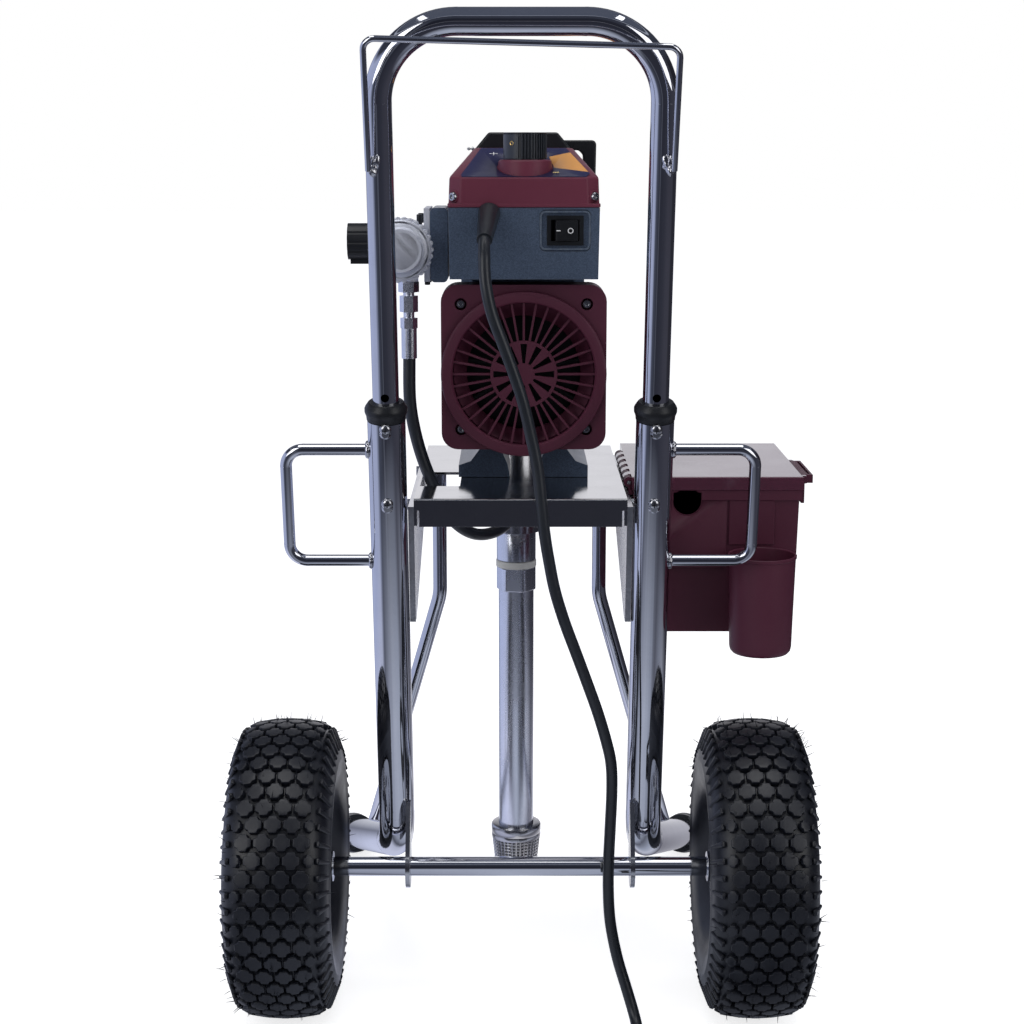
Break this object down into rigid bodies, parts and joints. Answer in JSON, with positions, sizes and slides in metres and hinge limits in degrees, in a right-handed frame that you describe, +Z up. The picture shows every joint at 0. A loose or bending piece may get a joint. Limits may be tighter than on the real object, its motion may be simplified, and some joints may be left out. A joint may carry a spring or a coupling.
{
  "type": "airless paint sprayer",
  "caption": "Electric airless paint sprayer on a two-wheeled tube cart with a sliding handle, a suction pump, a tool box and a cup holder.",
  "frame": {"origin": "on the ground, at the middle of the machine's own footprint, its power cord left out", "axes": "+Z up, +X to the operator's right, +Y away from the operator, towards the pump"},
  "size_m": [0.5329, 0.6877, 0.8741],
  "materials": {
    "chrome": "polished chrome plate",
    "zinc_plate": "bright zinc plate",
    "platform_steel": "brushed sheet",
    "tyre_rubber": "moulded rubber",
    "black_rubber": "satin rubber",
    "black_plastic": "fine moulded texture",
    "maroon_plastic": "fine moulded texture",
    "slate_paint": "metallic paint on a casting",
    "cast_alloy": "satin",
    "machined_steel": "ground",
    "winding": "varnished",
    "bronze": "sintered",
    "label_film": "printed film",
    "white_seal": "satin",
    "filter_mesh": "woven wire"
  },
  "bodies": {
    "cart": {"frame_tube_left": "chrome", "frame_tube_right": "chrome", "rubber_feet": "black_rubber", "axle": "chrome", "axle_lugs": "zinc_plate", "axle_caps": "zinc_plate", "grab_handle_left": "chrome", "grab_handle_right": "chrome", "platform": "platform_steel", "gussets": "zinc_plate", "braces": "chrome", "frame_bolts": "zinc_plate", "handle_collars": "black_plastic", "motor_housing": "slate_paint", "motor_stator": "winding", "fan_cover": "maroon_plastic", "cover_screws": "zinc_plate", "gear_housing": "slate_paint", "pump_head": "slate_paint", "top_cover": "black_plastic", "carry_handle": "black_plastic", "control_box": "slate_paint", "control_cover": "maroon_plastic", "control_label": "label_film", "switch_bezel": "black_plastic", "strain_relief": "black_rubber", "pump_cylinder": "cast_alloy", "packing_nut": "machined_steel", "intake_seal": "white_seal", "suction_tube": "chrome", "suction_strainer": "cast_alloy", "manifold_block": "slate_paint", "filter_bowl": "cast_alloy", "filter_element": "filter_mesh", "hose_fittings": "zinc_plate", "pressure_hose": "black_rubber", "toolbox_body": "maroon_plastic", "hinge_pin": "zinc_plate", "cup_holder": "maroon_plastic", "power_cord": "black_rubber", "cord_coil": "black_rubber", "plug": "black_rubber"},
    "push_handle": {"handle": "chrome", "hose_hook": "chrome"},
    "left_wheel": {"tyre_left": "tyre_rubber", "rim_left": "zinc_plate", "hub_bushes_left": "bronze"},
    "right_wheel": {"tyre_right": "tyre_rubber", "rim_right": "zinc_plate", "hub_bushes_right": "bronze"},
    "motor": {"motor_rotor": "machined_steel", "cooling_fan": "black_plastic"},
    "crank": {"crank_gear": "machined_steel"},
    "rod": {"connecting_rod": "machined_steel"},
    "piston": {"piston_rod": "machined_steel"},
    "pressure_dial": {"pressure_knob": "black_plastic"},
    "rocker": {"switch_rocker": "black_plastic"},
    "prime_valve": {"prime_knob": "black_plastic"},
    "lid": {"toolbox_lid": "maroon_plastic"},
    "latch": {"box_latch": "maroon_plastic"}
  },
  "joints": [
    {"name": "handle_slide", "type": "slide", "parent": "cart", "child": "push_handle", "axis": [0, 0.1994, -0.9799], "range_m": [0, 0.165]},
    {"name": "left_wheel_spin", "type": "hinge", "parent": "cart", "child": "left_wheel", "pos_m": [-0.2131, -0.1273, 0.1325], "axis": [1, 0, 0], "continuous": true},
    {"name": "right_wheel_spin", "type": "hinge", "parent": "cart", "child": "right_wheel", "pos_m": [0.2029, -0.1273, 0.1325], "axis": [1, 0, 0], "continuous": true},
    {"name": "motor_spin", "type": "hinge", "parent": "cart", "child": "motor", "pos_m": [-0.0023, -0.0273, 0.578], "axis": [0, 1, 0], "continuous": true},
    {"name": "crank_spin", "type": "hinge", "parent": "cart", "child": "crank", "pos_m": [-0.0081, 0.0827, 0.628], "axis": [0, 1, 0], "continuous": true},
    {"name": "rod_pivot", "type": "hinge", "parent": "crank", "child": "rod", "pos_m": [-0.0081, 0.1567, 0.618], "axis": [0, 1, 0], "continuous": true},
    {"name": "piston_slide", "type": "slide", "parent": "cart", "child": "piston", "axis": [0, 0, 1], "range_m": [0, 0.02]},
    {"name": "pressure_knob_turn", "type": "hinge", "parent": "cart", "child": "pressure_dial", "pos_m": [-0.0013, -0.1023, 0.77], "axis": [0, 0, 1], "range_deg": [0, 270]},
    {"name": "switch_rock", "type": "hinge", "parent": "cart", "child": "rocker", "pos_m": [0.0325, -0.1193, 0.6988], "axis": [0, 0, 1], "range_deg": [-16, 0]},
    {"name": "prime_valve_turn", "type": "hinge", "parent": "cart", "child": "prime_valve", "pos_m": [-0.1421, -0.1013, 0.6885], "axis": [1, 0, 0], "range_deg": [0, 90]},
    {"name": "lid_hinge", "type": "hinge", "parent": "cart", "child": "lid", "pos_m": [0.0915, -0.0073, 0.475], "axis": [0, -1, 0], "range_deg": [0, 90]},
    {"name": "latch_hinge", "type": "hinge", "parent": "lid", "child": "latch", "pos_m": [0.2513, -0.0173, 0.474], "axis": [0, -1, 0], "range_deg": [0, 90]}
  ],
  "couplings": [
    {"joint": "crank_spin", "follows": "motor_spin", "ratio": -0.25641},
    {"joint": "rod_pivot", "follows": "motor_spin", "ratio": 0.25641}
  ]
}
